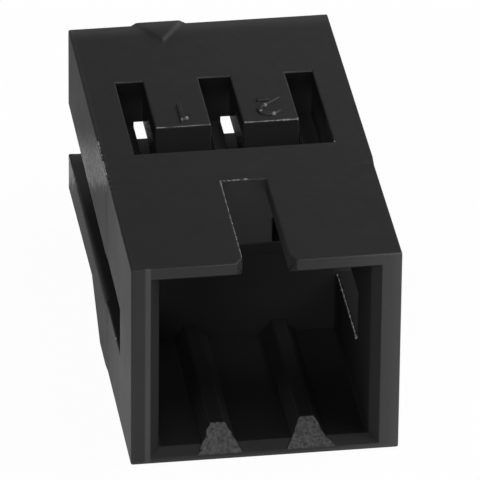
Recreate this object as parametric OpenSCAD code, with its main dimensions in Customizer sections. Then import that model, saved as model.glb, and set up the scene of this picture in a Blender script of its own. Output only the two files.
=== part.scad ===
// Shrouded pin housing for crimped contacts, one row, moulded in one piece.
// The mating mouth faces -Y, the contacts go in from +Y, and the base lies on Z = 0.
// The origin is the middle of the footprint. Lengths along the part run back from the mouth.

/* [Housing] */
// Spacing of the contact positions
pitch = 2.54; // [2.5:0.02:3.2]
// Number of contact positions
positions = 2; // [2:1:8]
// Material beside the outer positions, beyond half a pitch
end_margin = 1.27; // [1.22:0.01:1.8]
// Overall length, from the mouth to the contact entries
length = 13.97; // [13:0.01:17]
// Height of the shroud
height = 6.35; // [6.1:0.01:7.2]
// How far the rear half stands proud of the shroud, on the top and both sides
mould_step = 0.025; // [0.01:0.005:0.05]
// Distance of that step from the mouth
step_back = 5.05; // [4.7:0.01:6]
// Length of the slope that makes the step
step_length = 0.4; // [0.2:0.01:0.8]

/* [Underside] */
// Length of the flat base behind the mouth
base_length = 6.65; // [6.2:0.01:7]
// Length of the ramp behind the base
ramp_length = 1.84; // [1:0.01:2.4]
// Lift of the underside at the top of the ramp
rear_lift = 1.2; // [0.8:0.01:1.4]
// Fall of the lifted underside from the ramp to the rear end
rear_fall = 0.2; // [0:0.01:0.3]

/* [Shroud] */
// Thickness of the side walls
side_wall = 0.835; // [0.7:0.005:0.9]
// Thickness of the top wall
top_wall = 0.525; // [0.4:0.005:0.65]
// Thickness of the floor
floor_thickness = 0.38; // [0.32:0.01:0.6]
// Depth of the cavity below the bridge
shroud_depth = 6.1; // [5.6:0.01:6.3]
// Depth of the lead-in round the mouth
lead_depth = 0.3; // [0.15:0.01:0.5]
// Widening of the mouth by the lead-in, on each side
lead_side = 0.28; // [0.15:0.01:0.4]
// Widening of the mouth by the lead-in, at the floor and at the top wall
lead_rise = 0.2; // [0.1:0.01:0.25]

/* [Latch slot] */
// Width of the slot in the top wall
slot_width = 1.3; // [1:0.01:2]
// Length of the slot, which ends at the bridge
slot_length = 4.64; // [4.2:0.01:4.8]
// Widening of the slot on each side at the mouth
flare_width = 0.19; // [0.1:0.01:0.3]
// Length of that widening
flare_length = 0.33; // [0.2:0.01:0.6]

/* [Bridge] */
// Thickness of the cross wall between the slot and the window
bridge_thickness = 1.79; // [1.6:0.01:2.1]
// Height of the bevel under the front of the bridge
bevel_height = 0.48; // [0.3:0.01:0.5]
// Depth of that bevel
bevel_depth = 0.18; // [0.05:0.01:0.4]
// Width of the release slots through the bridge, one above each contact
release_width = 0.82; // [0.6:0.01:1.1]
// Height of the release slots over the base, where the bevel begins
release_floor = 4.24; // [4.1:0.01:4.4]

/* [Floor ribs] */
// Width of a rib at its foot, level with the lip of the mouth
rib_foot = 1.27; // [1:0.01:1.5]
// Width of a rib at its crest
rib_crest = 0.38; // [0.25:0.01:0.6]
// Height of a rib over the floor
rib_height = 0.41; // [0.3:0.01:0.6]
// Length of the bevel at the front of a rib
rib_bevel = 0.72; // [0.5:0.01:0.8]

/* [Contact passages] */
// Width of a contact passage
passage_width = 2.12; // [1.9:0.01:2.2]
// Height of the passage floor over the base
passage_floor = 2.57; // [2.4:0.01:2.7]
// Thickness of the roof over the passages
roof_thickness = 1.375; // [1.15:0.005:1.5]
// Thickness of the wall that stops the contacts
stop_thickness = 1; // [0.8:0.01:1.3]
// Side of the square pin holes in the stop wall
pin_hole = 0.7; // [0.66:0.01:0.75]
// Height of the pins over the base
pin_height = 3.38; // [3:0.01:3.4]

/* [Locking tongues] */
// Width of a tongue
tongue_width = 1.62; // [1.4:0.01:1.7]
// Length of the window round the tongues
window_length = 4.19; // [4:0.01:5]
// Depth of the ledges round the window below the roof of the passages
ledge_drop = 0.1; // [0.05:0.01:0.3]
// Gap between the outer tongues and the sides of the window
window_gap = 0.79; // [0.6:0.01:0.85]
// Gap between the tips of the tongues and the front of the window
tip_gap = 1.41; // [1.2:0.01:1.7]
// Drop of the nose under the tip of a tongue
nose_drop = 0.32; // [0.2:0.01:0.6]
// Length of the sloping nose
nose_length = 1.6; // [1:0.01:2.2]

/* [Side grooves] */
// Height of the lower edge of a groove over the base
groove_floor = 2.19; // [1.9:0.01:2.4]
// Width of a groove at its front end, from its lower to its upper edge
groove_width = 1.48; // [1.3:0.01:1.65]
// Rise of the upper edge of a groove from its front end to its rear end
groove_rise = 0.2; // [0.05:0.01:0.3]
// Radius of the lower edge of a groove, behind the step
groove_round = 0.17; // [0.1:0.01:0.25]
// Distance of the front end of a groove from the mouth
groove_start = 2.42; // [1.8:0.01:3]
// How much deeper a groove is than the wall of the shroud
groove_bite = 0.05; // [0.03:0.01:0.1]

/* [Position one mark] */
// Shift of the triangle from position one to the middle of the part
mark_shift = 0.08; // [0:0.01:0.2]
// Width of the raised triangle at the rear edge
mark_width = 1.65; // [1:0.01:1.7]
// Length of the triangle
mark_length = 1.32; // [0.6:0.01:1.5]
// Height of the triangle over the top
mark_height = 0.1; // [0.06:0.01:0.15]
// Share of its outline that the top of the triangle keeps
mark_taper = 0.8; // [0.6:0.01:0.95]

/* [Hidden] */

// Overlap of joined volumes and overrun of cuts
lap = 0.2;

width = positions * pitch + 2 * end_margin;
row_length = (positions - 1) * pitch;
step_end = step_back + step_length;
rear_half = width / 2 + mould_step;
rear_top = height + mould_step;
cavity_half = width / 2 - side_wall;
cavity_ceiling = height - top_wall;
roof_underside = rear_top - roof_thickness;
bridge_underside = release_floor - bevel_height;
passage_front = shroud_depth + stop_thickness;
window_front = slot_length + bridge_thickness;
window_rear = window_front + window_length;
window_half = (row_length + tongue_width) / 2 + window_gap;
tongue_tip = window_front + tip_gap;
mouth_lip = floor_thickness - lead_rise;
rib_top = floor_thickness + rib_height;
// Growth of the lead-in where its cut runs past the mouth
lead_overrun = 1 + lap / lead_depth;

function position_x(index) = index * pitch - row_length / 2;

// Runs a Y-Z profile across the part, centred on the middle plane.
module across(reach) {
    rotate([90, 0, 90])
        linear_extrude(height = reach, center = true)
            children();
}

// Runs an X-Z profile back from the mouth.
module backward(reach) {
    translate([0, reach, 0])
        rotate([90, 0, 0])
            linear_extrude(height = reach)
                children();
}

// Repeats its children at every contact position.
module at_positions() {
    for (index = [0 : positions - 1])
        translate([position_x(index), 0, 0])
            children();
}

// A box centred on X, from one corner height and depth to another.
module block(half, front, rear, low, high) {
    translate([-half, front, low])
        cube([2 * half, rear - front, high - low]);
}

// Outer form: its side view with the lifted underside, met by its plan. Both widen at the step.
module outer_form() {
    intersection() {
        across(2 * rear_half)
            polygon([
                [0, 0],
                [base_length, 0],
                [base_length + ramp_length, rear_lift],
                [length, rear_lift - rear_fall],
                [length, rear_top],
                [step_end, rear_top],
                [step_back, height],
                [0, height]
            ]);
        linear_extrude(height = rear_top)
            polygon([
                [-width / 2, 0],
                [width / 2, 0],
                [width / 2, step_back],
                [rear_half, step_end],
                [rear_half, length],
                [-rear_half, length],
                [-rear_half, step_end],
                [-width / 2, step_back]
            ]);
    }
}

// Cavity of the shroud: its plan with the chamfered mouth, met by its side view under the bridge.
module shroud_cavity() {
    intersection() {
        linear_extrude(height = height)
            polygon([
                [-cavity_half - lead_side * lead_overrun, -lap],
                [cavity_half + lead_side * lead_overrun, -lap],
                [cavity_half, lead_depth],
                [cavity_half, shroud_depth],
                [-cavity_half, shroud_depth],
                [-cavity_half, lead_depth]
            ]);
        across(width)
            polygon([
                [-lap, floor_thickness - lead_rise * lead_overrun],
                [lead_depth, floor_thickness],
                [shroud_depth, floor_thickness],
                [shroud_depth, bridge_underside],
                [slot_length + bevel_depth, bridge_underside],
                [slot_length, release_floor],
                [slot_length, cavity_ceiling],
                [lead_depth, cavity_ceiling],
                [-lap, cavity_ceiling + lead_rise * lead_overrun]
            ]);
    }
}

// Slot in the top wall for the latch of the mating half, flared at the mouth.
module latch_slot() {
    translate([0, 0, cavity_ceiling - lap])
        linear_extrude(height = top_wall + 2 * lap)
            polygon([
                [-slot_width / 2 - flare_width, -lap],
                [slot_width / 2 + flare_width, -lap],
                [slot_width / 2 + flare_width, 0],
                [slot_width / 2, flare_length],
                [slot_width / 2, slot_length],
                [-slot_width / 2, slot_length],
                [-slot_width / 2, flare_length],
                [-slot_width / 2 - flare_width, 0]
            ]);
}

// Passages open at the rear, each with a pin hole and a release slot to the shroud.
module contact_passages() {
    pin_low = pin_height - pin_hole / 2;
    at_positions() {
        block(passage_width / 2, passage_front, length + lap, passage_floor, roof_underside);
        block(pin_hole / 2, shroud_depth - lap, passage_front + lap, pin_low, pin_low + pin_hole);
        block(release_width / 2, slot_length - lap, passage_front + lap, release_floor, roof_underside);
    }
}

// Opening in the top that frees the tongues on three sides and leaves ledges beside the passages.
module tongue_window() {
    block(window_half, window_front, window_rear, roof_underside - ledge_drop, rear_top + lap);
}

// Grooves along both sides, open at the rear and through the wall beside the cavity.
module side_grooves() {
    groove_top = groove_floor + groove_width;
    difference() {
        across(2 * (rear_half + lap))
            polygon([
                [groove_start, groove_floor],
                [length + lap, groove_floor],
                [length + lap, groove_top + groove_rise],
                [length, groove_top + groove_rise],
                [groove_start, groove_top]
            ]);
        block(cavity_half - groove_bite, 0, length + 2 * lap, 0, height);
    }
}

// Cuts that round the lower edges of the grooves behind the step.
module groove_rounding() {
    for (side = [0, 1])
        mirror([side, 0, 0])
            translate([rear_half - groove_round, step_end, groove_floor - groove_round])
                backward(length + lap - step_end)
                    difference() {
                        square(groove_round + lap);
                        circle(groove_round, $fn = 48);
                    }
}

// Floor ribs of the shroud, bevelled at the mouth.
module floor_ribs() {
    rib_reach = shroud_depth + lap;
    at_positions()
        intersection() {
            backward(rib_reach)
                polygon([
                    [-rib_foot / 2, mouth_lip],
                    [rib_foot / 2, mouth_lip],
                    [rib_crest / 2, rib_top],
                    [-rib_crest / 2, rib_top]
                ]);
            across(rib_foot)
                polygon([
                    [0, mouth_lip],
                    [rib_reach, mouth_lip],
                    [rib_reach, rib_top],
                    [rib_bevel, rib_top]
                ]);
        }
}

// Sprung tongues that lock the contacts, rooted in the roof and thicker at the nose.
module locking_tongues() {
    at_positions()
        across(tongue_width)
            polygon([
                [tongue_tip, rear_top],
                [tongue_tip, roof_underside - nose_drop],
                [tongue_tip + nose_length, roof_underside],
                [window_rear + lap, roof_underside],
                [window_rear + lap, rear_top]
            ]);
}

// Outline of the raised mark, a triangle that points to the mouth.
module mark_outline() {
    polygon([
        [-mark_width / 2, 0],
        [mark_width / 2, 0],
        [0, -mark_length]
    ]);
}

// Raised triangle that marks position one at the rear edge of the top, with its root in the roof.
module position_mark() {
    translate([position_x(0) + mark_shift, length, rear_top]) {
        linear_extrude(height = mark_height, scale = mark_taper)
            mark_outline();
        translate([0, 0, -lap])
            linear_extrude(height = lap)
                mark_outline();
    }
}

module housing() {
    color("#1d1d1f")
        translate([0, -length / 2, 0]) {
            difference() {
                outer_form();
                shroud_cavity();
                latch_slot();
                contact_passages();
                tongue_window();
                side_grooves();
                groove_rounding();
            }
            floor_ribs();
            locking_tongues();
            position_mark();
        }
}

housing();
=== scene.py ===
"""Dresses the two-position pin housing in black moulded plastic and lights it on a pale studio floor."""

from __future__ import annotations

import logging
import math
from dataclasses import dataclass, field
from enum import Enum
from typing import Any, Mapping, Optional, Sequence, Union

import bmesh
import bpy
from mathutils import Matrix, Vector, noise

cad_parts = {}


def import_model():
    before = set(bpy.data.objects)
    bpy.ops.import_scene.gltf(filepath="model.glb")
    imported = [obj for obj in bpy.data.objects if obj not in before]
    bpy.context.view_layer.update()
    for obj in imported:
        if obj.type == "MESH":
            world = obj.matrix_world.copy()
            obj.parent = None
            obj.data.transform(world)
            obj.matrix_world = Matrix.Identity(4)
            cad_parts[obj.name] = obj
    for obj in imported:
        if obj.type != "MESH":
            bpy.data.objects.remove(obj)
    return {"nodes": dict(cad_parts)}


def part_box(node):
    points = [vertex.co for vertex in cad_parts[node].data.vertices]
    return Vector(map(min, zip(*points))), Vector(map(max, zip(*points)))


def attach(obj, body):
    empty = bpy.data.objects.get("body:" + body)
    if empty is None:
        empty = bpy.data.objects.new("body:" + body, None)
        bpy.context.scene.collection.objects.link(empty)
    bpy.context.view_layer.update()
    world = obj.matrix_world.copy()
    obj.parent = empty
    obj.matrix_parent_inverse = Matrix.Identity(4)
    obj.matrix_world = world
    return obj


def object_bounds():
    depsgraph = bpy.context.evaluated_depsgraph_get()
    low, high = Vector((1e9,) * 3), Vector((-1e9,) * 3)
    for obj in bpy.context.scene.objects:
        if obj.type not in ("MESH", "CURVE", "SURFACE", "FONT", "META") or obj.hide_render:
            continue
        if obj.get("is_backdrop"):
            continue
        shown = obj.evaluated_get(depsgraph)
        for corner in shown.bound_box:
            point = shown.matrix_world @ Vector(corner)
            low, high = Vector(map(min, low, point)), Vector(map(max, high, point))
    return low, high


LOG = logging.getLogger("pin_housing")
MM = 0.001
BODY = "root"
HOUSING_NODE = "housing"
PLASTIC_IOR = 1.5
NOISE_MIDDLE = 0.5
MIX_FIRST, MIX_SECOND, MIX_RESULT = 6, 7, 2
QUAD_CORNERS = 4
SMOOTH = {"interpolation_type": "SMOOTHSTEP"}

Colour = tuple[float, float, float, float]
Point = tuple[float, float, float]
Span = tuple[float, float]
Mesh = bmesh.types.BMesh
Socket = bpy.types.NodeSocket


def grey(level: float) -> Colour:
    """A neutral colour of one level."""
    return (level, level, level, 1.0)


def direction(azimuth: float, elevation: float) -> Vector:
    """Direction of a lamp or the camera, by degrees round from the mouth to its right and over the floor."""
    turn, rise = math.radians(azimuth), math.radians(elevation)
    return Vector((math.sin(turn) * math.cos(rise), -math.cos(turn) * math.cos(rise), math.sin(rise)))


class Side(Enum):
    """Sides of the housing as seen by someone who faces the mouth."""

    LEFT = -1
    RIGHT = 1


class Figure(Enum):
    """Position numbers moulded on the tongues."""

    ONE = 1
    TWO = 2


class Op(Enum):
    """Operations of a Math node that the shaders use."""

    ADD = "ADD"
    SUBTRACT = "SUBTRACT"
    MULTIPLY = "MULTIPLY"
    ABSOLUTE = "ABSOLUTE"
    LESS = "LESS_THAN"
    GREATER = "GREATER_THAN"


@dataclass(frozen=True)
class Value:
    """A number socket of a node tree that takes part in Python arithmetic."""

    graph: Graph
    socket: Socket

    def __add__(self, other: Operand) -> Value:
        """This value plus another."""
        return self.graph.math(Op.ADD, self, other)

    def __radd__(self, other: Operand) -> Value:
        """A number plus this value."""
        return self.graph.math(Op.ADD, other, self)

    def __sub__(self, other: Operand) -> Value:
        """This value less another."""
        return self.graph.math(Op.SUBTRACT, self, other)

    def __rsub__(self, other: Operand) -> Value:
        """A number less this value."""
        return self.graph.math(Op.SUBTRACT, other, self)

    def __mul__(self, other: Operand) -> Value:
        """This value times another."""
        return self.graph.math(Op.MULTIPLY, self, other)

    def __rmul__(self, other: Operand) -> Value:
        """A number times this value."""
        return self.graph.math(Op.MULTIPLY, other, self)

    def __lt__(self, other: Operand) -> Value:
        """One where this value is below another, and nought elsewhere."""
        return self.graph.math(Op.LESS, self, other)

    def __gt__(self, other: Operand) -> Value:
        """One where this value is above another, and nought elsewhere."""
        return self.graph.math(Op.GREATER, self, other)

    def __abs__(self) -> Value:
        """The size of this value without its sign."""
        return self.graph.math(Op.ABSOLUTE, self)

    def swing(self, share: float) -> Value:
        """This noise about its middle, times a share."""
        return (self - NOISE_MIDDLE) * share

    def within(self, low: float, high: float) -> Value:
        """One where this value lies between two others, and nought elsewhere."""
        return (self > low) * (self < high)

    def rise(self, start: float, end: float) -> Value:
        """A smooth rise from nought at the start to one at the end, which may lie below the start."""
        sockets = {"Value": self, "From Min": start, "From Max": end}
        return self.graph.value(self.graph.node("ShaderNodeMapRange", SMOOTH, sockets), "Result")


Operand = Union[Value, float]
Paint = Union[Socket, Colour]
Link = Union[Value, Socket, float, Sequence[float], str, bool]


@dataclass(frozen=True)
class Graph:
    """Builds the node tree of one material, world or modifier."""

    tree: bpy.types.NodeTree

    @classmethod
    def of(cls, owner: Union[bpy.types.Material, bpy.types.World]) -> Graph:
        """Clears the nodes of a material or a world.

        Args:
            owner: Material or world.

        Returns:
            The graph that fills it.
        """
        owner.use_nodes = True
        owner.node_tree.nodes.clear()
        return cls(owner.node_tree)

    def node(
        self,
        kind: str,
        settings: Optional[Mapping[str, Any]] = None,
        inputs: Optional[Mapping[Union[str, int], Link]] = None,
    ) -> bpy.types.Node:
        """Adds a node, applies its settings and then fills its sockets.

        Args:
            kind: Blender's type name of the node.
            settings: Attributes of the node by name.
            inputs: Numbers, colours or links by the name or place of the socket.

        Returns:
            The new node.
        """
        made = self.tree.nodes.new(kind)
        for name, setting in (settings or {}).items():
            setattr(made, name, setting)
        for key, given in (inputs or {}).items():
            if isinstance(given, Value):
                self.tree.links.new(given.socket, made.inputs[key])
            elif isinstance(given, Socket):
                self.tree.links.new(given, made.inputs[key])
            else:
                made.inputs[key].default_value = given
        return made

    def value(self, node: bpy.types.Node, output: Union[str, int] = 0) -> Value:
        """Wraps an output of a node for arithmetic."""
        return Value(self, node.outputs[output])

    def math(self, operation: Op, *operands: Operand) -> Value:
        """Adds the Math node of one operation and returns its result."""
        made = self.node("ShaderNodeMath", {"operation": operation.value}, dict(enumerate(operands)))
        return self.value(made)

    def millimetres(self) -> Socket:
        """Adds the place on the part as a vector in millimetres."""
        sockets = {0: self.node("ShaderNodeTexCoord").outputs["Object"], "Scale": 1 / MM}
        return self.node("ShaderNodeVectorMath", {"operation": "SCALE"}, sockets).outputs[0]

    def mix_colours(self, share: Operand, first: Paint, second: Paint) -> Socket:
        """Blends two colours, the first where the share is nought and the second where it is one."""
        sockets = {0: share, MIX_FIRST: first, MIX_SECOND: second}
        return self.node("ShaderNodeMix", {"data_type": "RGBA"}, sockets).outputs[MIX_RESULT]

    def plastic(self, colour: Socket, roughness: Operand, normal: Socket, specular: float = 0.5) -> Socket:
        """Adds a plastic shader.

        Args:
            colour: Socket of its colour.
            roughness: Its roughness.
            normal: Socket of the normal that carries its relief.
            specular: Strength of its gloss.

        Returns:
            The socket of the shader.
        """
        fixed = {"IOR": PLASTIC_IOR, "Specular IOR Level": specular}
        sockets = {"Base Color": colour, "Roughness": roughness, "Normal": normal, **fixed}
        return self.node("ShaderNodeBsdfPrincipled", inputs=sockets).outputs[0]

    def relief(self, height: Value) -> Socket:
        """Turns a height in millimetres into a normal."""
        sockets = {"Height": height, "Strength": 1.0, "Distance": MM}
        return self.node("ShaderNodeBump", inputs=sockets).outputs[0]

    def mix_shaders(self, share: Value, first: Socket, second: Socket) -> Socket:
        """Blends two shaders, the first where the share is nought and the second where it is one."""
        return self.node("ShaderNodeMixShader", inputs={0: share, 1: first, 2: second}).outputs[0]

    def show(self, shader: Socket) -> None:
        """Hands a shader to the surface of the material."""
        self.node("ShaderNodeOutputMaterial", inputs={"Surface": shader})


def add_object(name: str, data: bpy.types.ID) -> bpy.types.Object:
    """Puts an object into the scene.

    Args:
        name: Name of the object.
        data: Its mesh, lamp or lens.

    Returns:
        The object.
    """
    made = bpy.data.objects.new(name, data)
    bpy.context.scene.collection.objects.link(made)
    return made


def add_mesh(name: str, mesh: Mesh) -> bpy.types.Object:
    """Puts a mesh into the scene and frees what it was built in.

    Args:
        name: Name of the object and its mesh.
        mesh: Mesh in metres.

    Returns:
        The object.
    """
    data = bpy.data.meshes.new(name)
    mesh.to_mesh(data)
    mesh.free()
    return add_object(name, data)


@dataclass(frozen=True)
class NoiseLayer:
    """A layer of noise: features in a millimetre, number of finer layers and their strength."""

    scale: float
    detail: float = 2.0
    roughness: float = 0.55

    def add(self, graph: Graph, vector: Socket) -> Value:
        """Adds the noise at a place in millimetres, with values around one half."""
        sockets = {"Vector": vector, "Scale": self.scale, "Detail": self.detail, "Roughness": self.roughness}
        return graph.value(graph.node("ShaderNodeTexNoise", inputs=sockets))


@dataclass(frozen=True)
class Place:
    """Where a point lies: across the part, back from the mouth and up from the base, in millimetres."""

    vector: Socket
    x: Value
    sideways: Value
    back: Value
    up: Value

    @classmethod
    def read(cls, graph: Graph, mouth: float) -> Place:
        """Adds the nodes that read the place.

        Args:
            graph: Graph of the material.
            mouth: Where the mouth lies along the part, in millimetres.

        Returns:
            The place as shader values.
        """
        vector = graph.millimetres()
        axes = graph.node("ShaderNodeSeparateXYZ", inputs={0: vector})
        x, y, up = (graph.value(axes, index) for index in range(3))
        return cls(vector, x, abs(x), y - mouth, up)


@dataclass(frozen=True)
class InnerBox:
    """A part of the housing's inside that a core of the mould formed."""

    half: float
    back: Span
    up: Span

    def mask(self, place: Place) -> Value:
        """One inside the box and nought elsewhere."""
        return (place.sideways < self.half) * place.back.within(*self.back) * place.up.within(*self.up)


@dataclass(frozen=True)
class CoredInside:
    """The faces that the cores formed: flat, and paler than the outside, which is painted light that lifts
    the shade inside; painted shade darkens the lit floor near the mouth, the side walls and the upper walls
    of the window, and painted light lifts the rib flanks and the passages.
    """

    roughness: float = 0.85
    specular: float = 0.15
    # Painted light: the core and the shroud's walls are paler than the outside to lift the shade inside.
    core_painted_light_colour: Colour = grey(0.020)
    wall_painted_light_colour: Colour = grey(0.030)
    # Painted shade: the darkest colour goes on the lit floor near the mouth and on the upper walls of the
    # window.
    floor_painted_shade_colour: Colour = grey(0.0055)
    # Painted shade on the lit side walls and painted light on the shaded rib flanks.
    side_painted_light_and_shade_colour: Colour = grey(0.013)
    # Painted light in the passages behind the tongue tips.
    passage_painted_light_colour: Colour = grey(0.045)
    shroud: Span = (0.31, 6.3)
    side_half: float = 2.9
    floor_up: Span = (1.7, 0.8)
    floor_back: Span = (7.0, 2.5)
    rib_up: Span = (0.40, 0.77)
    rib_back: Span = (4.5, 1.0)
    window_back: Span = (7.95, 10.6)
    window_up: Span = (5.2, 6.2)
    passage_up: Span = (6.0, 5.0)
    flank_foot: float = 4.9
    flank_up: Span = (5.98, 5.72)
    flank_reach: float = 0.02
    boxes: tuple[InnerBox, ...] = (
        InnerBox(half=3.4, back=(0.02, 4.6), up=(0.1, 6.0)),
        InnerBox(half=0.86, back=(0.02, 4.6), up=(6.0, 6.335)),
        InnerBox(half=3.4, back=(4.6, 6.2), up=(0.1, 3.72)),
        InnerBox(half=2.9, back=(6.2, 11.0), up=(2.4, 5.05)),
        InnerBox(half=2.9, back=(6.4, 10.64), up=(5.05, 6.33)),
    )

    def mask(self, place: Place) -> Value:
        """One inside the boxes and nought elsewhere."""
        return sum(box.mask(place) for box in self.boxes)

    def tongue_flanks(self, place: Place, sizes: HousingSizes) -> Value:
        """Finds the polished lower flanks of the tongues, which mirror the ground behind the passages.

        Args:
            place: Place on the part.
            sizes: Sizes of the housing.

        Returns:
            One on the flanks and nought elsewhere.
        """
        off_flank = abs(abs(place.sideways - sizes.pitch / 2) - sizes.tongue_half)
        lower = (place.up > self.flank_foot) * place.up.rise(*self.flank_up)
        return (off_flank < self.flank_reach) * place.back.within(*self.window_back) * lower

    def colour(self, graph: Graph, place: Place) -> Socket:
        """Mixes the painted light and shade of the inside.

        Args:
            graph: Graph of the material.
            place: Place on the part.

        Returns:
            The socket of the colour.
        """
        back, up = place.back, place.up
        shroud = back.within(*self.shroud)
        behind_tips = back > self.window_back[0]
        # Painted shade on the lit floor of the shroud near the mouth.
        low = shroud * up.rise(*self.floor_up) * back.rise(*self.floor_back)
        flanks = up.within(*self.rib_up) * back.rise(*self.rib_back)
        # Painted shade on the side walls and painted light on the rib flanks.
        upright = shroud * ((place.sideways > self.side_half) + flanks)
        # Painted light on the core and on the shroud's walls.
        walls = graph.mix_colours(shroud, self.core_painted_light_colour, self.wall_painted_light_colour)
        # The darkest colour, painted shade, also goes on the upper walls of the window behind the tongue
        # tips.
        floors = graph.mix_colours(low + behind_tips * up.rise(*self.window_up), walls, self.floor_painted_shade_colour)
        sides = graph.mix_colours(upright, floors, self.side_painted_light_and_shade_colour)
        # Painted light in the passages behind the tongue tips.
        return graph.mix_colours(behind_tips * up.rise(*self.passage_up), sides, self.passage_painted_light_colour)


@dataclass(frozen=True)
class WornSideAndSheen:
    """Wear of the left side: duller towards the rear, with a scuffed band from the step down to the rail,
    whose pale flecks are painted sheen.
    """

    side: float = 3.7
    slant: float = 0.56
    unevenness: float = 1.2
    band_front: Span = (8.75, 9.25)
    band_rear: Span = (11.0, 9.9)
    dull_back: Span = (1.5, 8.0)
    back_share: float = 0.9
    dull_up: Span = (1.5, 5.5)
    up_share: float = 0.6
    shine: float = 0.3

    def scuff_and_sheen(self, place: Place, bloom: Value) -> Value:
        """One in the scuffed band, which carries the painted sheen flecks and which the bloom makes uneven,
        and nought elsewhere.
        """
        along = place.up + place.back * self.slant + bloom.swing(self.unevenness)
        return (place.x < -self.side) * along.rise(*self.band_front) * along.rise(*self.band_rear)

    def dulled(self, place: Place) -> Value:
        """Share of the dull finish, which is below nought where the side shines."""
        rearward, upward = place.back.rise(*self.dull_back), place.up.rise(*self.dull_up)
        return (place.x < -self.side) * (rearward * self.back_share + upward * self.up_share - self.shine)


@dataclass(frozen=True)
class PaintedEdgeHighlights:
    """Painted highlights on edges: the mouth's rim, most on its right, its foot, and the rear edge of the
    top.
    """

    rim_back: Span = (0.12, 0.02)
    right: Span = (0.5, 5.0)
    far_right: Span = (3.4, 4.0)
    far_right_share: float = 0.7
    line_left: Span = (-3.46, -3.36)
    line_right: Span = (-3.22, -3.30)
    line_share: float = 1.1
    foot_back: float = 0.04
    foot_up: Span = (0.16, 0.0)
    top: float = 6.2
    rear_start: float = 0.9
    rear_overrun: float = 0.1
    softness: Span = (-0.1, 1.3)

    def mask(self, place: Place, length: float) -> Value:
        """Finds the painted highlights on the edges.

        Args:
            place: Place on the part.
            length: Length of the part, in millimetres.

        Returns:
            The share of painted highlight, from nought to one.
        """
        x, back, up = place.x, place.back, place.up
        line = x.rise(*self.line_left) * x.rise(*self.line_right) * self.line_share
        along_rim = x.rise(*self.right) + x.rise(*self.far_right) * self.far_right_share + line
        foot = (back < self.foot_back) * up.rise(*self.foot_up)
        rear = (up > self.top) * back.rise(length - self.rear_start, length + self.rear_overrun)
        return (back.rise(*self.rim_back) * along_rim + foot + rear).rise(*self.softness)


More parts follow.
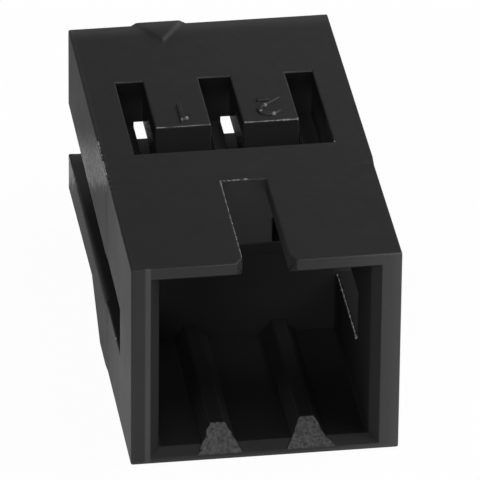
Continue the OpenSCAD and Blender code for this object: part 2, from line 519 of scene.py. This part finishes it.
@dataclass(frozen=True)
class MouldedPlastic:
    """Black plastic: satin and finely grained outside, flat where the cores formed it, with painted
    highlights on its rim, painted light towards the rear and in the left groove, painted sheen flecks on the
    left side, and painted light and shade inside.
    """

    sizes: HousingSizes
    name: str = "black_moulded_plastic"
    dark_colour: Colour = (0.0040, 0.0040, 0.0042, 1.0)
    pale_colour: Colour = (0.0150, 0.0150, 0.0152, 1.0)
    # Painted highlight on the rim, its foot and the rear edge of the top.
    edge_highlight_colour: Colour = grey(0.040)
    # Painted light on the rear end of the left groove.
    groove_painted_light_colour: Colour = grey(0.050)
    # Painted sheen: pale flecks in the scuffed band of the left side.
    painted_sheen_fleck_colour: Colour = grey(0.026)
    roughness: float = 0.58
    roughness_spread: float = 0.10
    scuff_roughness: float = 0.36
    side_roughness: float = 0.74
    fleck_sheen: float = 0.14
    flank_sheen: float = 0.34
    grain: NoiseLayer = NoiseLayer(scale=13.0)
    ripple: NoiseLayer = NoiseLayer(scale=1.1, roughness=0.5)
    bloom: NoiseLayer = NoiseLayer(scale=3.6, detail=3.0, roughness=0.6)
    fleck: NoiseLayer = NoiseLayer(scale=8.0, detail=1.0, roughness=0.5)
    grain_depth: float = 0.0022
    ripple_depth: float = 0.0035
    fleck_depth: float = 0.020
    # Painted light: the plastic grows paler towards the rear and to the right.
    painted_light_back: float = 0.5
    painted_light_across: float = 0.05
    bloom_share: float = 0.6
    grain_share: float = 0.5
    shade_range: Span = (-0.15, 1.05)
    fleck_range: Span = (0.45, 0.70)
    groove_across: Span = (-3.79, -2.9)
    groove_up: Span = (2.1, 2.7)
    groove_back: Span = (10.2, 12.6)
    inside: CoredInside = CoredInside()
    left_side: WornSideAndSheen = WornSideAndSheen()
    # Painted highlights on the rim, its foot and the rear edge of the top.
    edges: PaintedEdgeHighlights = PaintedEdgeHighlights()

    def _tone_and_painted_light(self, place: Place, bloom: Value, grain: Value) -> Value:
        """Nought where the plastic is darkest and one where it is palest: random tone from the bloom and
        grain, plus painted light that grows towards the rear and to the right.
        """
        # Painted light that grows towards the rear and to the right.
        painted_light_rise = place.back * (self.painted_light_back / self.sizes.length) + place.x * self.painted_light_across
        return (bloom.swing(self.bloom_share) + grain.swing(self.grain_share) + painted_light_rise).rise(*self.shade_range)

    def _groove_painted_light(self, place: Place) -> Value:
        """Share of painted light on the rear end of the left groove."""
        groove = place.x.within(*self.groove_across) * place.up.within(*self.groove_up)
        return groove * place.back.rise(*self.groove_back)

    def build(self) -> bpy.types.Material:
        """Makes the material.

        Returns:
            A node material whose detail is placed in millimetres of the part's frame.
        """
        material = bpy.data.materials.new(self.name)
        graph = Graph.of(material)
        place = Place.read(graph, self.sizes.mouth)
        layers = (self.grain, self.ripple, self.bloom, self.fleck)
        grain, ripple, bloom, fleck = (layer.add(graph, place.vector) for layer in layers)
        scuff_and_sheen = self.left_side.scuff_and_sheen(place, bloom)
        # Painted sheen flecks in the scuffed band, which is also glossier.
        sheen_flecks = scuff_and_sheen * fleck.rise(*self.fleck_range)
        flanks = self.inside.tongue_flanks(place, self.sizes)

        # Random tone with painted light towards the rear and the right.
        plain = graph.mix_colours(self._tone_and_painted_light(place, bloom, grain), self.dark_colour, self.pale_colour)
        # Painted light on the rear end of the left groove.
        groove_lit = graph.mix_colours(self._groove_painted_light(place), plain, self.groove_painted_light_colour)
        # Painted highlights on the rim, its foot and the rear edge of the top.
        highlighted = graph.mix_colours(self.edges.mask(place, self.sizes.length), groove_lit, self.edge_highlight_colour)
        # Painted sheen flecks in the scuffed band.
        colour = graph.mix_colours(sheen_flecks, highlighted, self.painted_sheen_fleck_colour)
        roughness = (
            self.roughness
            + ripple.swing(self.roughness_spread)
            + scuff_and_sheen * (self.scuff_roughness - self.roughness)
            - sheen_flecks * self.fleck_sheen
            - flanks * self.flank_sheen
            + self.left_side.dulled(place) * (self.side_roughness - self.roughness)
        )
        rough_up = grain * self.grain_depth + ripple * self.ripple_depth + fleck * scuff_and_sheen * self.fleck_depth
        normal = graph.relief(rough_up)
        outer = graph.plastic(colour, roughness, normal)
        inner_colour = self.inside.colour(graph, place)
        inner = graph.plastic(inner_colour, self.inside.roughness, normal, self.inside.specular)
        graph.show(graph.mix_shaders(self.inside.mask(place) * (1 - flanks), outer, inner))
        return material


@dataclass(frozen=True)
class BrokenPlastic:
    """Plastic that was torn or stretched in the mould: paler than the rest and uneven; on the flash lines and
    number specks the paleness is also painted highlight.
    """

    name: str
    dark_colour: Colour
    pale_colour: Colour
    roughness: float
    grain: NoiseLayer
    grain_depth: float
    grain_range: Span = (0.3, 0.7)

    def build(self) -> bpy.types.Material:
        """Makes the material.

        Returns:
            A node material that runs between its two colours.
        """
        material = bpy.data.materials.new(self.name)
        graph = Graph.of(material)
        grain = self.grain.add(graph, graph.millimetres())
        colour = graph.mix_colours(grain.rise(*self.grain_range), self.dark_colour, self.pale_colour)
        graph.show(graph.plastic(colour, self.roughness, graph.relief(grain * self.grain_depth)))
        return material


# Pale flash lines and number specks: partly real flash, partly painted highlight and painted glints.
FLASH_HIGHLIGHT = BrokenPlastic(
    "flash_painted_highlight", grey(0.08), grey(0.24), roughness=0.42, grain=NoiseLayer(16.0), grain_depth=0.010
)
BROKEN_RIB = BrokenPlastic(
    "broken_rib_end", grey(0.016), grey(0.056), roughness=0.62, grain=NoiseLayer(10.0), grain_depth=0.012
)


@dataclass(frozen=True)
class PaleFloor:
    """White studio floor that glows to white in view and still takes the object's shadow."""

    name: str = "pale_floor"
    colour: Colour = grey(0.8)
    glow: Colour = grey(1.0)
    glow_share: float = 0.965
    mirrored_share: float = 0.6

    def build(self) -> bpy.types.Material:
        """Makes the material.

        Returns:
            A diffuse material that is partly a white glow to camera, glossy and transmission rays.
        """
        material = bpy.data.materials.new(self.name)
        graph = Graph.of(material)
        path = graph.node("ShaderNodeLightPath")
        mirrored = graph.value(path, "Is Glossy Ray") + graph.value(path, "Is Transmission Ray")
        white = graph.value(path, "Is Camera Ray") * self.glow_share + mirrored * self.mirrored_share
        matt = graph.node("ShaderNodeBsdfDiffuse", inputs={"Color": self.colour})
        glow = graph.node("ShaderNodeEmission", inputs={"Color": self.glow, "Strength": 1.0})
        graph.show(graph.mix_shaders(white, matt.outputs[0], glow.outputs[0]))
        return material


@dataclass
class MouldedHousing:
    """The housing itself: its moulded edges are rounded and it takes the plastic finish."""

    node: bpy.types.Object
    edge_round: float = 0.06
    round_segments: int = 3
    sharp_angle: float = 20.0
    weld: float = 0.0005
    flat_angle: float = 0.5
    slope_angle: float = 5.0
    crease_angle: float = 40.0
    flat_weight: int = 100

    def build(self) -> None:
        """Stacks the modifiers that merge the faces and round the outer edges."""
        weld = self.node.modifiers.new("merge_corners", "WELD")
        weld.merge_threshold = self.weld * MM
        flats = self.node.modifiers.new("join_flats", "DECIMATE")
        flats.decimate_type = "DISSOLVE"
        flats.angle_limit = math.radians(self.flat_angle)
        weights = self.node.modifiers.new("find_edges", "NODES")
        weights.node_group = self._edge_weights()
        rounding = self.node.modifiers.new("round_edges", "BEVEL")
        rounding.limit_method = "WEIGHT"
        rounding.width = self.edge_round * MM
        rounding.segments = self.round_segments
        rounding.use_clamp_overlap = False
        shading = self.node.modifiers.new("shade_edges", "NODES")
        shading.node_group = self._edge_shading()
        normals = self.node.modifiers.new("true_flats", "WEIGHTED_NORMAL")
        normals.mode = "FACE_AREA"
        normals.weight = self.flat_weight
        normals.keep_sharp = True

    @staticmethod
    def _geometry_graph(name: str) -> Graph:
        """Makes an empty group of geometry nodes.

        Args:
            name: Name of the group.

        Returns:
            The graph of the group, which has one way in and one way out.
        """
        tree = bpy.data.node_groups.new(name, "GeometryNodeTree")
        for way in ("INPUT", "OUTPUT"):
            tree.interface.new_socket("Geometry", in_out=way, socket_type="NodeSocketGeometry")
        return Graph(tree)

    def _edge_weights(self) -> bpy.types.NodeTree:
        """Makes the node group that marks the outer edges to be rounded.

        Returns:
            A geometry node group that stores each edge's share of the rounding.
        """
        graph = self._geometry_graph("moulded_edges")
        source = graph.node("NodeGroupInput")
        angle = graph.value(graph.node("GeometryNodeInputMeshEdgeAngle"), "Signed Angle")
        sharp = angle > math.radians(self.sharp_angle)
        sockets = {"Geometry": source.outputs[0], "Name": "bevel_weight_edge", "Value": sharp}
        settings = {"data_type": "FLOAT", "domain": "EDGE"}
        stored = graph.node("GeometryNodeStoreNamedAttribute", settings, sockets)
        graph.node("NodeGroupOutput", inputs={0: stored.outputs[0]})
        return graph.tree

    def _edge_shading(self) -> bpy.types.NodeTree:
        """Makes the node group that shades the rounded edges smooth and keeps the others sharp.

        Returns:
            A geometry node group.
        """
        graph = self._geometry_graph("edge_shading")
        source = graph.node("NodeGroupInput")
        angle = graph.value(graph.node("GeometryNodeInputMeshEdgeAngle"), "Unsigned Angle")
        crisp = (angle > math.radians(self.crease_angle)) + (angle < math.radians(self.slope_angle))
        kind = "GeometryNodeSetShadeSmooth"
        smooth = graph.node(kind, {"domain": "FACE"}, {"Geometry": source.outputs[0]})
        sockets = {"Geometry": smooth.outputs[0], "Selection": crisp, "Shade Smooth": False}
        sharp = graph.node(kind, {"domain": "EDGE"}, sockets)
        graph.node("NodeGroupOutput", inputs={0: sharp.outputs[0]})
        return graph.tree

    def dress(self, plastic: bpy.types.Material) -> None:
        """Gives every face of the housing the plastic."""
        self.node.data.materials.clear()
        self.node.data.materials.append(plastic)

    def top_at(self, x: float, y: float) -> float:
        """Finds the surface under a point.

        Args:
            x: Place across the part, in millimetres.
            y: Place along the part, in millimetres.

        Returns:
            Height of the uppermost face there, in millimetres.
        """
        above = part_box(HOUSING_NODE)[1].z + MM
        found, place, _, _ = self.node.ray_cast(Vector((x * MM, y * MM, above)), Vector((0, 0, -1)))
        if not found:
            raise ValueError(f"there is no face under ({x}, {y})")
        return place.z / MM


def skin_rings(rings: Sequence[Sequence[Vector]]) -> Mesh:
    """Joins rings of points into a closed tube.

    Args:
        rings: Rings of as many points each, in millimetres.

    Returns:
        The mesh of the tube, in metres.
    """
    mesh = bmesh.new()
    loops = [[mesh.verts.new(spot * MM) for spot in ring] for ring in rings]
    for near, far in zip(loops, loops[1:]):
        for index, corner in enumerate(near):
            other = (index + 1) % len(near)
            mesh.faces.new((corner, near[other], far[other], far[index]))
    mesh.faces.new(loops[0])
    mesh.faces.new(reversed(loops[-1]))
    return mesh


@dataclass
class SmallPiece:
    """A small piece of the moulding, with its sizes in millimetres of the part's frame."""

    name: str
    piece: Optional[bpy.types.Object] = field(default=None, init=False)

    def shape(self) -> Mesh:
        """Makes the closed mesh of the piece, in metres."""
        raise NotImplementedError

    def build(self) -> None:
        """Makes the piece with smooth sides and flat ends, and lets it ride on the housing."""
        mesh = self.shape()
        bmesh.ops.recalc_face_normals(mesh, faces=mesh.faces)
        for face in mesh.faces:
            face.smooth = len(face.verts) == QUAD_CORNERS
        self.piece = add_mesh(self.name, mesh)
        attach(self.piece, BODY)

    def dress(self, plastic: bpy.types.Material) -> None:
        """Gives every face of the piece its plastic."""
        self.piece.data.materials.append(plastic)


@dataclass
class PositionNumber(SmallPiece):
    """One raised position number with round strokes, which reads from the contact entries."""

    figure: Figure
    x: float
    y: float
    surface: float
    tall: float = 1.02
    wide: float = 0.72
    stroke: float = 0.17
    raised: float = 0.075
    sunk: float = 0.02
    flag: float = 0.4
    arc_start: float = 165.0
    arc_end: float = -38.0
    squareness: float = 0.7
    sharpest: float = 0.45
    arc_steps: int = 14
    section_steps: int = 8
    soft_share: float = 0.25
    soft_angle: float = 50.0
    soft_segments: int = 2

    def _strokes(self) -> list[Vector]:
        """Draws the number's centreline.

        Returns:
            Points about the number's own middle, as it reads, in millimetres.
        """
        half_tall = (self.tall - self.stroke) / 2
        half_wide = (self.wide - self.stroke) / 2
        if self.figure is Figure.ONE:
            flag = half_wide * self.flag
            return [Vector((-flag, half_tall - flag)), Vector((0, half_tall)), Vector((0, -half_tall))]
        centre = Vector((0, half_tall - half_wide))
        start, end = math.radians(self.arc_start), math.radians(self.arc_end)
        turn = [start + (end - start) * step / self.arc_steps for step in range(self.arc_steps + 1)]
        arc = [centre + half_wide * Vector((math.cos(a), math.sin(a))) for a in turn]
        return [*arc, Vector((-half_wide, -half_tall)), Vector((half_wide, -half_tall))]

    def _ring(self, point: Vector, across: Vector) -> list[Vector]:
        """Draws the rounded section of a stroke.

        Args:
            point: Point of the centreline.
            across: From the centreline to the edge of the stroke.

        Returns:
            Points round the section in the part's frame, which is turned half round from the number's own.
        """
        ring = []
        for step in range(self.section_steps + 1):
            angle = math.pi * step / self.section_steps
            side = math.copysign(abs(math.cos(angle)) ** self.squareness, math.cos(angle))
            lift = self.raised * abs(math.sin(angle)) ** self.squareness
            spot = point + across * side
            ring.append(Vector((self.x - spot.x, self.y - spot.y, self.surface + lift)))
        left, right = ring[-1].copy(), ring[0].copy()
        left.z = right.z = self.surface - self.sunk
        return [right, *ring, left]

    def shape(self) -> Mesh:
        """Sweeps the section along the centreline.

        Returns:
            The mesh of the number.
        """
        line = self._strokes()
        last = len(line) - 1
        rings = []
        for index, point in enumerate(line):
            before = (point - line[max(index - 1, 0)]).normalized()
            after = (line[min(index + 1, last)] - point).normalized()
            along = (before + after).normalized()
            stretch = 1 / max(along.dot(after if index < last else before), self.sharpest)
            rings.append(self._ring(point, Vector((-along.y, along.x)) * stretch * self.stroke / 2))
        return skin_rings(rings)

    def build(self) -> None:
        """Makes the number and softens the ends of its strokes."""
        super().build()
        softening = self.piece.modifiers.new("soften_ends", "BEVEL")
        softening.width = self.soft_share * self.raised * MM
        softening.segments = self.soft_segments
        softening.limit_method = "ANGLE"
        softening.angle_limit = math.radians(self.soft_angle)


@dataclass
class FlashLine(SmallPiece):
    """A thin ragged line of flash along a moulded edge."""

    start: Point
    end: Point
    radius: float
    raggedness: float
    start_lump: float = 0.0
    end_lump: float = 0.0
    lump_reach: float = 0.05
    lumps_per_mm: float = 9.0
    thinnest: float = 0.05
    end_share: float = 0.5
    pitch: float = 0.02
    fewest_steps: int = 4
    sides: int = 7

    def _radius_at(self, place: Vector, from_start: float, from_end: float) -> float:
        """Radius of the line at one place.

        Args:
            place: Point of the line, which sets its own raggedness.
            from_start: Distance from the start of the line.
            from_end: Distance from its end.

        Returns:
            The radius, in millimetres.
        """
        ragged = 1 + 2 * self.raggedness * noise.noise(place * self.lumps_per_mm)
        lumps = self.start_lump * math.exp(-((from_start / self.lump_reach) ** 2))
        lumps += self.end_lump * math.exp(-((from_end / self.lump_reach) ** 2))
        return self.radius * (max(ragged, self.thinnest) + lumps)

    def shape(self) -> Mesh:
        """Sweeps the line from its start to its end.

        Returns:
            The mesh of the line.
        """
        start, end = Vector(self.start), Vector(self.end)
        reach = (end - start).length
        along = (end - start).normalized()
        across = along.cross(Vector((0, 0, 1))).normalized()
        upward = across.cross(along)
        turns = [2 * math.pi * side / self.sides for side in range(self.sides)]
        spokes = [across * math.cos(turn) + upward * math.sin(turn) for turn in turns]
        steps = max(self.fewest_steps, round(reach / self.pitch))
        rings = []
        for step in range(steps + 1):
            gone = reach * step / steps
            middle = start + along * gone
            radius = self._radius_at(middle, gone, reach - gone)
            if step in (0, steps):
                radius *= self.end_share
            rings.append([middle + spoke * radius for spoke in spokes])
        return skin_rings(rings)


@dataclass
class RibEnd(SmallPiece):
    """The coarse broken face on the sloped end of a floor rib."""

    x: float
    mouth: float
    flare: float = 0.0
    flare_share: float = 0.3
    foot: float = 1.27
    crest: float = 0.38
    lip: float = 0.18
    rise: float = 0.61
    depth: float = 0.72
    grain: float = 0.055
    grain_level: float = 0.35
    coarse_share: float = 0.55
    fine_share: float = 0.25
    fine_ratio: float = 2.3
    bed: float = 0.04
    fray: float = 0.07
    fray_ratio: float = 0.6
    grains_per_mm: float = 12.0
    columns: int = 44
    rows: int = 34
    clear: float = 0.003

    def _spot(self, share_across: float, share_up: float, lift: float) -> Vector:
        """Places one point of the broken face.

        Args:
            share_across: From minus one on the left edge to one on the right edge.
            share_up: From nought at the lip to one at the crest.
            lift: Height over the slope.

        Returns:
            The point, held behind the mouth.
        """
        half = self.foot / 2 + (self.crest - self.foot) / 2 * share_up
        edge = Vector((math.copysign(half, share_across), self.x, share_up * self.rise))
        half += self.fray * noise.noise(edge * self.grains_per_mm * self.fray_ratio)
        if share_across > 0:
            half += self.flare * max(0.0, 1 - share_up / self.flare_share)
        slope = math.hypot(self.rise, self.depth)
        y = self.mouth + share_up * self.depth - lift * self.rise / slope
        z = self.lip + share_up * self.rise + lift * self.depth / slope
        return Vector((self.x + half * share_across, max(y, self.mouth + self.clear), z))

    def _lift(self, share_across: float, share_up: float) -> float:
        """Finds how high the grains stand at one place.

        Args:
            share_across: From minus one on the left edge to one on the right edge.
            share_up: From nought at the lip to one at the crest.

        Returns:
            Height over the slope, in millimetres.
        """
        flat = self._spot(share_across, share_up, 0.0)
        coarse = noise.noise(flat * self.grains_per_mm)
        fine = noise.noise(flat * self.grains_per_mm * self.fine_ratio)
        return self.grain * (self.grain_level + self.coarse_share * coarse + self.fine_share * fine)

    @staticmethod
    def _rim(sheet: Sequence[Sequence[bmesh.types.BMVert]]) -> list[bmesh.types.BMVert]:
        """Corners round the edge of a sheet, in turn."""
        left, right = [row[0] for row in sheet], [row[-1] for row in sheet]
        return [*sheet[0], *right[1:-1], *reversed(sheet[-1]), *reversed(left[1:-1])]

    def shape(self) -> Mesh:
        """Makes the face as a thin closed crust that is bedded in the rib.

        Returns:
            The mesh of the crust.
        """
        mesh = bmesh.new()
        across = [2 * column / self.columns - 1 for column in range(self.columns + 1)]
        up = [row / self.rows for row in range(self.rows + 1)]
        crust = [[mesh.verts.new(self._spot(a, u, self._lift(a, u)) * MM) for a in across] for u in up]
        bed = [[mesh.verts.new(self._spot(a, u, -self.bed) * MM) for a in across] for u in up]
        for sheet in (crust, bed):
            for low, high in zip(sheet, sheet[1:]):
                for index in range(self.columns):
                    mesh.faces.new((low[index], low[index + 1], high[index + 1], high[index]))
        upper, lower = self._rim(crust), self._rim(bed)
        for index, corner in enumerate(upper):
            mesh.faces.new((upper[index - 1], corner, lower[index], lower[index - 1]))
        return mesh


@dataclass
class RailEdge(SmallPiece):
    """The upper edge of a side rail, round behind the step and crisp at the rear."""

    side: Side
    start: float
    end: float
    half: float
    top: float
    filled_round: float = 0.17
    front_round: float = 0.165
    rear_round: float = 0.04
    bed: float = 0.012
    arc_steps: int = 10
    rows: int = 12
    crease_angle: float = 40.0

    def _arc(self, radius: float, middle: float) -> list[Span]:
        """Points of a quarter round, as distances in from the side and down from the top."""
        turns = [math.pi / 2 * step / self.arc_steps for step in range(self.arc_steps + 1)]
        return [(middle - radius * math.cos(turn), middle - radius * math.sin(turn)) for turn in turns]

    def _ring(self, share: float) -> list[Vector]:
        """Outline of the strip across the rail.

        Args:
            share: Nought at the step and one at the rear.

        Returns:
            Points round the strip between the edge that shows and the round that it fills.
        """
        radius = self.front_round + (self.rear_round - self.front_round) * share**2
        shown = [(0.0, self.filled_round), *self._arc(radius, radius), (self.filled_round, 0.0)]
        bedded = self._arc(self.filled_round - self.bed, self.filled_round)
        y = self.start + (self.end - self.start) * share
        return [
            Vector((self.side.value * (self.half - inward), y, self.top - down))
            for inward, down in (*shown, *reversed(bedded))
        ]

    def shape(self) -> Mesh:
        """Skins the strip along the rail and keeps its corners sharp.

        Returns:
            The mesh of the strip.
        """
        mesh = skin_rings([self._ring(row / self.rows) for row in range(self.rows + 1)])
        mesh.normal_update()
        for edge in mesh.edges:
            edge.smooth = edge.calc_face_angle(0.0) < math.radians(self.crease_angle)
        return mesh


@dataclass(frozen=True)
class HousingSizes:
    """Sizes of the housing that its small pieces hang on, with places in millimetres back from the mouth."""

    mouth: float
    length: float
    pitch: float = 2.54
    shroud_top: float = 6.35
    rear_top: float = 6.375
    rear_half: float = 3.835
    front_half: float = 3.81
    cavity_half: float = 2.975
    slot_half: float = 0.65
    slot_length: float = 4.64
    window_front: float = 6.43
    window_half: float = 2.87
    tongue_tip: float = 7.84
    tongue_half: float = 0.81
    groove_floor: float = 2.19
    groove_start: float = 2.42
    step_end: float = 5.45
    rail_short: float = 0.03
    rib_flare: float = 0.14
    number_shift: float = 0.03
    number_back: float = 8.63
    speck_raised: float = 0.031
    speck_radius: float = 0.068
    specks: tuple[Point, ...] = (
        (-1.28, 8.15, 0.03),
        (-1.13, 8.22, 0.055),
        (1.21, 8.70, 0.05),
        (1.39, 8.18, 0.06),
        (1.04, 8.35, 0.045),
    )
    seat: float = 0.014
    slot_side_start: float = 0.4
    slot_end_middle: float = -0.20
    slot_end_half: float = 0.38
    opening_inset: float = 0.03
    opening_overrun: float = 0.6
    groove_run: Span = (3.27, 3.37)
    edge_run: Span = (-0.1, 1.9)
    corner_run: Span = (-0.02, 0.06)

    def position_numbers(self, housing: MouldedHousing) -> list[PositionNumber]:
        """Position numbers on the tongues.

        Args:
            housing: Housing whose tongues carry them.

        Returns:
            One number for each tongue, from the left.
        """
        y = self.mouth + self.number_back
        numbers = []
        for figure, side in zip(Figure, Side):
            x = side.value * self.pitch / 2 + self.number_shift
            name = f"position_number_{figure.value}"
            numbers.append(PositionNumber(name, figure, x, y, housing.top_at(x, y)))
        return numbers

    def rail_edges(self) -> list[RailEdge]:
        """Upper edges of both side rails.

        Returns:
            One edge for each side, from the step to the rear.
        """
        run = (self.mouth + self.step_end, self.mouth + self.length - self.rail_short)
        return [
            RailEdge(f"rail_edge_{side.name.lower()}", side, *run, self.rear_half, self.groove_floor)
            for side in Side
        ]

    def rib_ends(self) -> list[RibEnd]:
        """Broken ends of both floor ribs; the right one flares at its foot."""
        places = enumerate(((-self.pitch / 2, 0.0), (self.pitch / 2, self.rib_flare)), 1)
        return [RibEnd(f"rib_end_{index}", x, self.mouth, flare) for index, (x, flare) in places]

    def _crosswise(self, name: str, middle: Point, half: float, **sizes: float) -> FlashLine:
        """A line of flash across the part, about its middle."""
        x, back, up = middle
        return FlashLine(name, *((x + side.value * half, self.mouth + back, up) for side in Side), **sizes)

    def _lengthwise(self, name: str, x: float, back: Sequence[float], up: float, **sizes: float) -> FlashLine:
        """A line of flash along the part."""
        return FlashLine(name, *((x, self.mouth + along, up) for along in back), **sizes)

    def tongue_flash(self) -> list[FlashLine]:
        """Lines of flash along the tips of the tongues, partly real flash and partly painted highlight.

        Returns:
            One line for each tongue, with a lump at each end.
        """
        tip, height = self.tongue_tip + self.seat, self.rear_top - self.seat
        half = self.tongue_half - 2 * self.seat
        sizes = {"radius": 0.015, "raggedness": 1.3, "start_lump": 2.1, "end_lump": 2.4, "lumps_per_mm": 4.0}
        middles = enumerate(((side.value * self.pitch / 2, tip, height) for side in Side), 1)
        return [self._crosswise(f"flash_tongue_{index}", middle, half, **sizes) for index, middle in middles]

    def edge_flash(self) -> list[FlashLine]:
        """Lines of flash round the slot, on the grooves, behind the step and in the window's corner, partly
        real flash and partly painted highlight.

        Returns:
            The lines, from the front.
        """
        top, rear, floor = self.shroud_top - self.seat, self.rear_top - self.seat, self.groove_floor
        slot_side, slot_end = -self.slot_half - self.seat, self.slot_length + self.seat
        opening, corner = self.cavity_half - self.seat, self.window_half + self.seat
        left_front, left_rear = -self.front_half + self.seat, -self.rear_half + 2 * self.seat
        slot_run = (slot_end, self.slot_side_start)
        opening_run = (self.groove_start + self.opening_inset, self.step_end + self.opening_overrun)
        edge_run = [self.step_end + shift for shift in self.edge_run]
        corner_run = [self.window_front + shift for shift in self.corner_run]
        slot_sizes = {"radius": 0.012, "raggedness": 1.0, "start_lump": 1.4, "lump_reach": 0.5}
        opening_sizes = {"radius": 0.021, "raggedness": 0.5, "start_lump": 0.6, "lump_reach": 0.6}
        slot_middle = (self.slot_end_middle, slot_end, top)
        along, across = self._lengthwise, self._crosswise
        return [
            along("flash_slot_side", slot_side, slot_run, top, **slot_sizes),
            across("flash_slot_end", slot_middle, self.slot_end_half, radius=0.013, raggedness=1.8),
            along("flash_right_opening", opening, opening_run, floor, **opening_sizes),
            along("flash_left_groove", left_front, self.groove_run, floor, radius=0.035, raggedness=0.2),
            along("flash_left_edge", left_rear, edge_run, rear, radius=0.013, raggedness=1.2),
            along("flash_window_corner", corner, corner_run, rear, radius=0.022, raggedness=0.2),
        ]

    def number_specks(self) -> list[FlashLine]:
        """Pale specks on the position numbers, which are painted glints.

        Returns:
            One short line for each speck.
        """
        height = self.rear_top + self.speck_raised
        sizes = {"radius": self.speck_radius, "raggedness": 0.0}
        return [
            self._crosswise(f"number_glint_{index}", (x, back, height), half, **sizes)
            for index, (x, back, half) in enumerate(self.specks, 1)
        ]


@dataclass(frozen=True)
class Softbox:
    """A square soft lamp that faces the object."""

    name: str
    azimuth: float
    elevation: float
    distance: float
    size: float
    radiance: float

    def build(self) -> None:
        """Makes the lamp and turns it to the origin."""
        lamp = bpy.data.lights.new(self.name, "AREA")
        lamp.shape = "SQUARE"
        lamp.size = self.size
        lamp.energy = self.radiance * math.pi * self.size**2
        made = add_object(self.name, lamp)
        away = direction(self.azimuth, self.elevation)
        made.location = away * self.distance
        made.rotation_mode = "QUATERNION"
        made.rotation_quaternion = (-away).to_track_quat("-Z", "Y")
        made.visible_camera = False


@dataclass
class Studio:
    """Pale floor, soft lamps and dim surroundings with a white foot."""

    floor_radius: float = 1.6
    floor_drop: float = 0.000005
    floor_sides: int = 96
    white_foot: Colour = grey(0.6)
    dim_walls: Colour = grey(0.12)
    in_view: Colour = grey(1.0)
    wall_start: Span = (0.02, 0.16)
    softboxes: tuple[Softbox, ...] = (
        Softbox("front_softbox", azimuth=-30.0, elevation=38.0, distance=0.62, size=0.5, radiance=2.0),
        Softbox("right_softbox", azimuth=85.0, elevation=50.0, distance=0.62, size=0.62, radiance=3.5),
    )

    def build(self) -> None:
        """Makes the floor, the world and the lamps."""
        self._floor()
        self._world()
        for softbox in self.softboxes:
            softbox.build()

    def _floor(self) -> None:
        """Makes the round floor just under the object."""
        mesh = bmesh.new()
        bmesh.ops.create_circle(mesh, cap_ends=True, segments=self.floor_sides, radius=self.floor_radius)
        floor = add_mesh("studio_floor", mesh)
        floor.location.z = -self.floor_drop
        floor.data.materials.append(PaleFloor().build())
        floor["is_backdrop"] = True

    def _world(self) -> None:
        """Makes surroundings that are white near the floor and dim above."""
        world = bpy.data.worlds.new("studio")
        bpy.context.scene.world = world
        graph = Graph.of(world)
        heading = graph.node("ShaderNodeTexCoord").outputs["Generated"]
        axes = graph.node("ShaderNodeSeparateXYZ", inputs={0: heading})
        height = graph.value(axes, "Z").rise(*self.wall_start)
        lit = graph.mix_colours(height, self.white_foot, self.dim_walls)
        seen = graph.value(graph.node("ShaderNodeLightPath"), "Is Camera Ray")
        colour = graph.mix_colours(seen, lit, self.in_view)
        light = graph.node("ShaderNodeBackground", inputs={"Color": colour})
        graph.node("ShaderNodeOutputWorld", inputs={"Surface": light.outputs[0]})


@dataclass(frozen=True)
class StudioCamera:
    """A long lens that looks down on the mouth of the housing from its left."""

    azimuth: float = -8.490
    elevation: float = 30.363
    roll: float = 0.590
    aim: Point = (0.2532, -0.1105, 3.0515)
    distance: float = 219.83
    focal_length: float = 573.72
    sensor: float = 36.0
    near_clip: float = 0.01
    far_clip: float = 10.0

    def build(self) -> None:
        """Makes the camera and hands it to the scene."""
        lens = bpy.data.cameras.new("studio_camera")
        lens.sensor_width = self.sensor
        lens.lens = self.focal_length
        lens.clip_start = self.near_clip
        lens.clip_end = self.far_clip
        made = add_object("studio_camera", lens)
        turn = math.radians(self.azimuth)
        back = direction(self.azimuth, self.elevation)
        right = Vector((math.cos(turn), math.sin(turn), 0))
        axes = Matrix((right, back.cross(right), back)).transposed()
        turned = axes @ Matrix.Rotation(math.radians(self.roll), 3, "Z")
        place = (Vector(self.aim) + back * self.distance) * MM
        made.matrix_world = Matrix.Translation(place) @ turned.to_4x4()
        bpy.context.scene.camera = made


def add_pieces(pieces: Sequence[SmallPiece], plastic: bpy.types.Material) -> None:
    """Builds, dresses and reports small pieces.

    Args:
        pieces: Pieces of one finish.
        plastic: Their finish.
    """
    for part in pieces:
        part.build()
        part.dress(plastic)
        LOG.info("%s: %d faces", part.name, len(part.piece.data.polygons))


def main() -> None:
    """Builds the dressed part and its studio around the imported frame."""
    logging.basicConfig(level=logging.INFO, format="%(name)s: %(message)s")
    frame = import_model()
    cad_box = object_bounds()
    bpy.context.scene.view_settings.view_transform = "Standard"
    StudioCamera().build()

    lowest, highest = cad_box
    sizes = HousingSizes(mouth=lowest.y / MM, length=(highest.y - lowest.y) / MM)
    plastic = MouldedPlastic(sizes).build()
    housing = MouldedHousing(frame["nodes"][HOUSING_NODE])
    housing.build()
    housing.dress(plastic)
    LOG.info("housing: %d faces before rounding", len(housing.node.data.polygons))

    add_pieces(sizes.position_numbers(housing), plastic)
    add_pieces(sizes.rail_edges(), plastic)
    flash = [*sizes.tongue_flash(), *sizes.edge_flash(), *sizes.number_specks()]
    # Flash lines and number specks: partly real flash, partly painted highlight and painted glints.
    add_pieces(flash, FLASH_HIGHLIGHT.build())
    add_pieces(sizes.rib_ends(), BROKEN_RIB.build())

    Studio().build()


if __name__ == "__main__":
    main()
